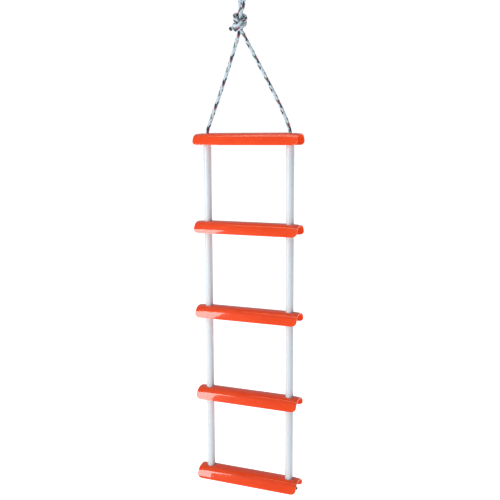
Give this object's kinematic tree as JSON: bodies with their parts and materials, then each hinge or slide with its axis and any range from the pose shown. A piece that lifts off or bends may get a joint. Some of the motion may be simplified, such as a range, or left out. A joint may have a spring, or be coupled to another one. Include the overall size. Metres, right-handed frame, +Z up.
{
  "type": "escape rope ladder",
  "caption": "Hanging escape ladder with arched plastic rungs held apart by white spacer tubes on two rope lines, knotted together at the top into a hanging loop.",
  "frame": {"origin": "inside top of the hanging loop, where a hook carries the ladder", "axes": "+X to the right along the rungs, +Y to the back, +Z up"},
  "size_m": [0.381, 0.0894, 1.8567],
  "materials": {
    "rung_plastic": "glossy injection-moulded orange-red plastic",
    "tube_plastic": "smooth white rigid plastic tube",
    "rope": "braided white synthetic rope with dark blue, dark red and green tracer yarns"
  },
  "bodies": {
    "bridle": {"hanging_loop": "rope", "top_knot": "rope", "top_knot_tail": "rope", "left_bridle_leg": "rope", "right_bridle_leg": "rope"},
    "rung_1": {"rung_1": "rung_plastic", "left_rope_in_rung_1": "rope", "right_rope_in_rung_1": "rope"},
    "rung_2": {"rung_2": "rung_plastic", "left_rope_in_rung_2": "rope", "right_rope_in_rung_2": "rope"},
    "rung_3": {"rung_3": "rung_plastic", "left_rope_in_rung_3": "rope", "right_rope_in_rung_3": "rope"},
    "rung_4": {"rung_4": "rung_plastic", "left_rope_in_rung_4": "rope", "right_rope_in_rung_4": "rope"},
    "rung_5": {"rung_5": "rung_plastic", "left_rope_in_rung_5": "rope", "right_rope_in_rung_5": "rope", "left_stopper_knot": "rope", "right_stopper_knot": "rope", "left_rope_end": "rope", "right_rope_end": "rope"},
    "left_rope_1": {"left_rope_in_tube_1": "rope"},
    "left_tube_1": {"left_spacer_tube_1": "tube_plastic"},
    "left_rope_2": {"left_rope_in_tube_2": "rope"},
    "left_tube_2": {"left_spacer_tube_2": "tube_plastic"},
    "left_rope_3": {"left_rope_in_tube_3": "rope"},
    "left_tube_3": {"left_spacer_tube_3": "tube_plastic"},
    "left_rope_4": {"left_rope_in_tube_4": "rope"},
    "left_tube_4": {"left_spacer_tube_4": "tube_plastic"},
    "right_rope_1": {"right_rope_in_tube_1": "rope"},
    "right_tube_1": {"right_spacer_tube_1": "tube_plastic"},
    "right_rope_2": {"right_rope_in_tube_2": "rope"},
    "right_tube_2": {"right_spacer_tube_2": "tube_plastic"},
    "right_rope_3": {"right_rope_in_tube_3": "rope"},
    "right_tube_3": {"right_spacer_tube_3": "tube_plastic"},
    "right_rope_4": {"right_rope_in_tube_4": "rope"},
    "right_tube_4": {"right_spacer_tube_4": "tube_plastic"}
  },
  "joints": [
    {"name": "ladder_swing", "type": "hinge", "parent": "bridle", "child": "rung_1", "pos_m": [0.018, 0, -0.585], "axis": [1, 0, 0], "range_deg": [-20, 20]},
    {"name": "left_fold_1", "type": "hinge", "parent": "rung_1", "child": "left_rope_1", "pos_m": [-0.1345, -0.017, -0.6145], "axis": [-1, 0, 0], "range_deg": [0, 90], "stiffness_Nm_per_rad": 0.88, "springref_deg": -114.59},
    {"name": "left_tube_spin_1", "type": "hinge", "parent": "left_rope_1", "child": "left_tube_1", "pos_m": [-0.1345, 0, -0.725], "axis": [0, 0, 1], "continuous": true},
    {"name": "right_fold_1", "type": "hinge", "parent": "rung_1", "child": "right_rope_1", "pos_m": [0.1705, -0.017, -0.6145], "axis": [-1, 0, 0], "range_deg": [0, 90]},
    {"name": "right_tube_spin_1", "type": "hinge", "parent": "right_rope_1", "child": "right_tube_1", "pos_m": [0.1705, 0, -0.725], "axis": [0, 0, 1], "continuous": true},
    {"name": "rung_2_level", "type": "hinge", "parent": "left_rope_1", "child": "rung_2", "pos_m": [0.018, 0.017, -0.88], "axis": [1, 0, 0], "range_deg": [0, 90]},
    {"name": "left_fold_2", "type": "hinge", "parent": "rung_2", "child": "left_rope_2", "pos_m": [-0.1345, 0.017, -0.9195], "axis": [1, 0, 0], "range_deg": [0, 90], "stiffness_Nm_per_rad": 0.66, "springref_deg": -114.59},
    {"name": "left_tube_spin_2", "type": "hinge", "parent": "left_rope_2", "child": "left_tube_2", "pos_m": [-0.1345, 0, -1.03], "axis": [0, 0, 1], "continuous": true},
    {"name": "right_fold_2", "type": "hinge", "parent": "rung_2", "child": "right_rope_2", "pos_m": [0.1705, 0.017, -0.9195], "axis": [1, 0, 0], "range_deg": [0, 90]},
    {"name": "right_tube_spin_2", "type": "hinge", "parent": "right_rope_2", "child": "right_tube_2", "pos_m": [0.1705, 0, -1.03], "axis": [0, 0, 1], "continuous": true},
    {"name": "rung_3_level", "type": "hinge", "parent": "left_rope_2", "child": "rung_3", "pos_m": [0.018, -0.017, -1.185], "axis": [-1, 0, 0], "range_deg": [0, 90]},
    {"name": "left_fold_3", "type": "hinge", "parent": "rung_3", "child": "left_rope_3", "pos_m": [-0.1345, -0.017, -1.2245], "axis": [-1, 0, 0], "range_deg": [0, 90], "stiffness_Nm_per_rad": 0.44, "springref_deg": -114.59},
    {"name": "left_tube_spin_3", "type": "hinge", "parent": "left_rope_3", "child": "left_tube_3", "pos_m": [-0.1345, 0, -1.335], "axis": [0, 0, 1], "continuous": true},
    {"name": "right_fold_3", "type": "hinge", "parent": "rung_3", "child": "right_rope_3", "pos_m": [0.1705, -0.017, -1.2245], "axis": [-1, 0, 0], "range_deg": [0, 90]},
    {"name": "right_tube_spin_3", "type": "hinge", "parent": "right_rope_3", "child": "right_tube_3", "pos_m": [0.1705, 0, -1.335], "axis": [0, 0, 1], "continuous": true},
    {"name": "rung_4_level", "type": "hinge", "parent": "left_rope_3", "child": "rung_4", "pos_m": [0.018, 0.017, -1.49], "axis": [1, 0, 0], "range_deg": [0, 90]},
    {"name": "left_fold_4", "type": "hinge", "parent": "rung_4", "child": "left_rope_4", "pos_m": [-0.1345, 0.017, -1.5295], "axis": [1, 0, 0], "range_deg": [0, 90], "stiffness_Nm_per_rad": 0.22, "springref_deg": -114.59},
    {"name": "left_tube_spin_4", "type": "hinge", "parent": "left_rope_4", "child": "left_tube_4", "pos_m": [-0.1345, 0, -1.64], "axis": [0, 0, 1], "continuous": true},
    {"name": "right_fold_4", "type": "hinge", "parent": "rung_4", "child": "right_rope_4", "pos_m": [0.1705, 0.017, -1.5295], "axis": [1, 0, 0], "range_deg": [0, 90]},
    {"name": "right_tube_spin_4", "type": "hinge", "parent": "right_rope_4", "child": "right_tube_4", "pos_m": [0.1705, 0, -1.64], "axis": [0, 0, 1], "continuous": true},
    {"name": "rung_5_level", "type": "hinge", "parent": "left_rope_4", "child": "rung_5", "pos_m": [0.018, -0.017, -1.795], "axis": [-1, 0, 0], "range_deg": [0, 90]}
  ],
  "couplings": [
    {"joint": "right_fold_1", "follows": "left_fold_1", "ratio": 1},
    {"joint": "rung_2_level", "follows": "left_fold_1", "ratio": 1},
    {"joint": "right_fold_2", "follows": "left_fold_2", "ratio": 1},
    {"joint": "rung_3_level", "follows": "left_fold_2", "ratio": 1},
    {"joint": "right_fold_3", "follows": "left_fold_3", "ratio": 1},
    {"joint": "rung_4_level", "follows": "left_fold_3", "ratio": 1},
    {"joint": "right_fold_4", "follows": "left_fold_4", "ratio": 1},
    {"joint": "rung_5_level", "follows": "left_fold_4", "ratio": 1}
  ]
}
